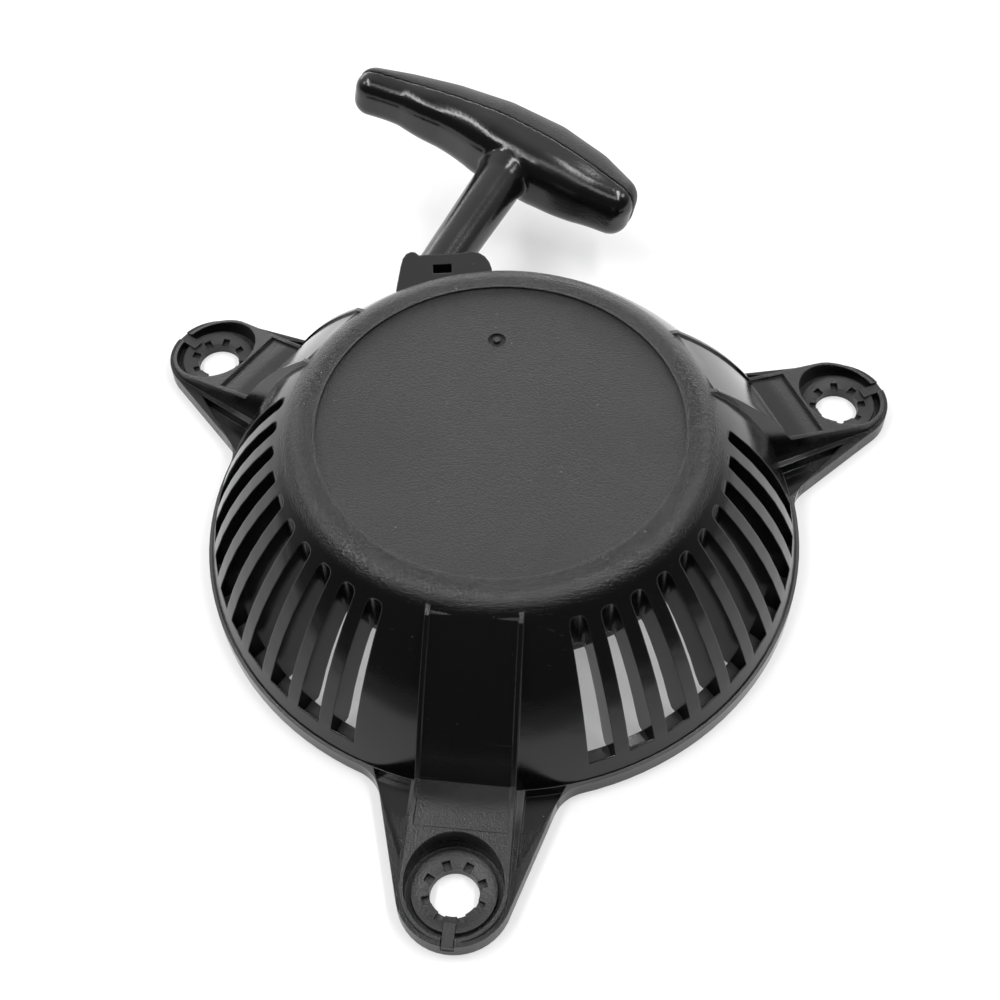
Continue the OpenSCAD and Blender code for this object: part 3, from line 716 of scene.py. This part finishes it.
def knot(middle, axis, stub_length):
    """A knot with the rope's cut end standing out of it along the axis."""
    tied = sweep(knot_path(middle, axis, KNOT_SIZE, KNOT_FLAT), KNOT_ROPE_R, 12, closed=True)
    stub = sweep(line_path(middle, middle + axis * stub_length, 8), STUB_R, 12)
    return joined([tied, stub])


def make_ropes(finish):
    low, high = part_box("reel_rope_knot")
    knot_middle = Vector(((low.x + high.x) / 2, (low.y + high.y) / 2, high.z - 3.1 * MM))
    tail_top = Vector((knot_middle.x, knot_middle.y, ROPE_Z - ROPE_R))
    wound = sweep(winding_path(), ROPE_R, 16)
    tail = sweep(line_path(knot_middle, tail_top, 12), LEAD_R, 16)
    add_piece("wound_rope", joined([wound, tail]), finish, "reel", ["rope_windings"])
    reel_knot = knot(knot_middle, Vector((0, 0, -1)), 3.4 * MM)
    add_piece("reel_knot", reel_knot, finish, "reel", ["reel_rope_knot"])
    handle_middle = centre("handle_rope_knot") - PULL * 1.0 * MM
    handle_knot = knot(handle_middle, PULL, 5.4 * MM)
    add_piece("handle_knot", handle_knot, finish, "handle", ["handle_rope_knot"])
    start = TANGENT + PULL * 0.6 * MM
    end = handle_middle - PULL * 0.4 * MM
    mesh = sweep(line_path(start, end, 120), LEAD_R, 16)
    lead = add_piece("pull_rope", mesh, finish, None, ["rope_lead"])
    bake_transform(lead)


# ---------------------------------------------------------------------------
# handle
DENT_DEPTH = 0.5 * MM
DENT_PITCH = 23 * MM
DENTS_CLEAR_OF_STEM = 10 * MM
SEAM_OUT = 109 * MM


def press_dents(mesh):
    """Shallow finger dents along the hand bar, clear of the stem and of the seam."""
    shape = bmesh.new()
    shape.from_mesh(mesh)
    shape.normal_update()
    for v in shape.verts:
        place = v.co - TANGENT
        along, out = place.dot(ACROSS), place.dot(PULL)
        from_stem = math.hypot(along, place.z) - DENTS_CLEAR_OF_STEM
        clear = min(1.0, max(0.0, from_stem / (6 * MM)))
        fade = clear * min(1.0, max(0.0, (SEAM_OUT - out) / (4 * MM)))
        wave = 0.5 + 0.5 * math.sin(2 * math.pi * along / DENT_PITCH + 0.8)
        v.co -= v.normal * (fade * wave * DENT_DEPTH)
    shape.to_mesh(mesh)
    shape.free()


def make_handle(finishes):
    """Shells of the grip and of the cap, with the softened corners of a moulding."""
    grip = rounded_copy("handle_grip", 0.55 * MM, 6)
    press_dents(grip)
    add_piece("grip_shell", grip, finishes["grip_plastic"], "handle", ["handle_grip"])
    cap = rounded_copy("handle_cap", 0.55 * MM, 6)
    add_piece("cap_shell", cap, finishes["cap_plastic"], "handle", ["handle_cap"])


# ---------------------------------------------------------------------------
# springs
def pawl_spring_path(node):
    """A torsion spring of two turns with one leg along the pawl."""
    low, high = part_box(node)
    wire = 0.4 * MM
    side = 1 if centre(node).x > 0 else -1
    coil_r = 4.0 * MM
    pivot = Vector((side * 20.0 * MM, 0, 0))
    bottom = low.z + wire
    top = high.z - wire
    points = []
    steps = 72
    for i in range(steps + 1):
        share = i / steps
        angle = math.pi - share * 4 * math.pi
        z = bottom + (top - bottom) * share
        out = Vector((math.cos(angle), math.sin(angle), 0)) * (side * coil_r)
        points.append(pivot + out + Vector((0, 0, z)))
    leg = points[0] + side * Vector((0, -10.5 * MM, 0))
    return line_path(leg, points[0], 10)[:-1] + points


def make_springs(finish):
    for node, name in (("pawl_spring_a", "torsion_spring_a"), ("pawl_spring_b", "torsion_spring_b")):
        mesh = sweep(pawl_spring_path(node), 0.38 * MM, 10)
        add_piece(name, mesh, finish, "reel", [node])


# ---------------------------------------------------------------------------
# shading of the CAD pieces that stay
def group_smooth_faces():
    """Geometry nodes: welds face borders and shades smooth, with sharp edges kept."""
    tree = bpy.data.node_groups.new("smooth_faces", "GeometryNodeTree")
    tree.interface.new_socket("Geometry", in_out="INPUT", socket_type="NodeSocketGeometry")
    tree.interface.new_socket("Geometry", in_out="OUTPUT", socket_type="NodeSocketGeometry")
    start = tree.nodes.new("NodeGroupInput")
    end = tree.nodes.new("NodeGroupOutput")
    plain = tree.nodes.new("GeometryNodeRemoveAttribute")
    plain.inputs["Name"].default_value = "custom_normal"
    weld = tree.nodes.new("GeometryNodeMergeByDistance")
    weld.inputs["Distance"].default_value = 0.001 * MM
    faces = tree.nodes.new("GeometryNodeSetShadeSmooth")
    faces.domain = "FACE"
    edges = tree.nodes.new("GeometryNodeSetShadeSmooth")
    edges.domain = "EDGE"
    edges.inputs["Shade Smooth"].default_value = False
    angle = tree.nodes.new("GeometryNodeInputMeshEdgeAngle")
    sharp = tree.nodes.new("FunctionNodeCompare")
    sharp.operation = "GREATER_THAN"
    sharp.inputs[1].default_value = math.radians(21)
    for a, b in (
        (start.outputs[0], plain.inputs[0]),
        (plain.outputs[0], weld.inputs["Geometry"]),
        (weld.outputs[0], faces.inputs["Geometry"]),
        (faces.outputs[0], edges.inputs["Geometry"]),
        (angle.outputs["Unsigned Angle"], sharp.inputs[0]),
        (sharp.outputs[0], edges.inputs["Selection"]),
        (edges.outputs[0], end.inputs[0]),
    ):
        tree.links.new(a, b)
    return tree


def finish_cad_nodes(finishes):
    smooth = group_smooth_faces()
    for name, node in frame["nodes"].items():
        for place in node.material_slots:
            place.material = finishes[slot_of(name)]
        shading = node.modifiers.new("smooth_faces", "NODES")
        shading.node_group = smooth


# ---------------------------------------------------------------------------
make_camera()
make_world()
make_lights()
finishes = make_finishes()
make_floor(pale_floor())
finish_cad_nodes(finishes)
make_handle(finishes)
make_ropes(finishes["rope"])
make_springs(finishes["spring_steel"])
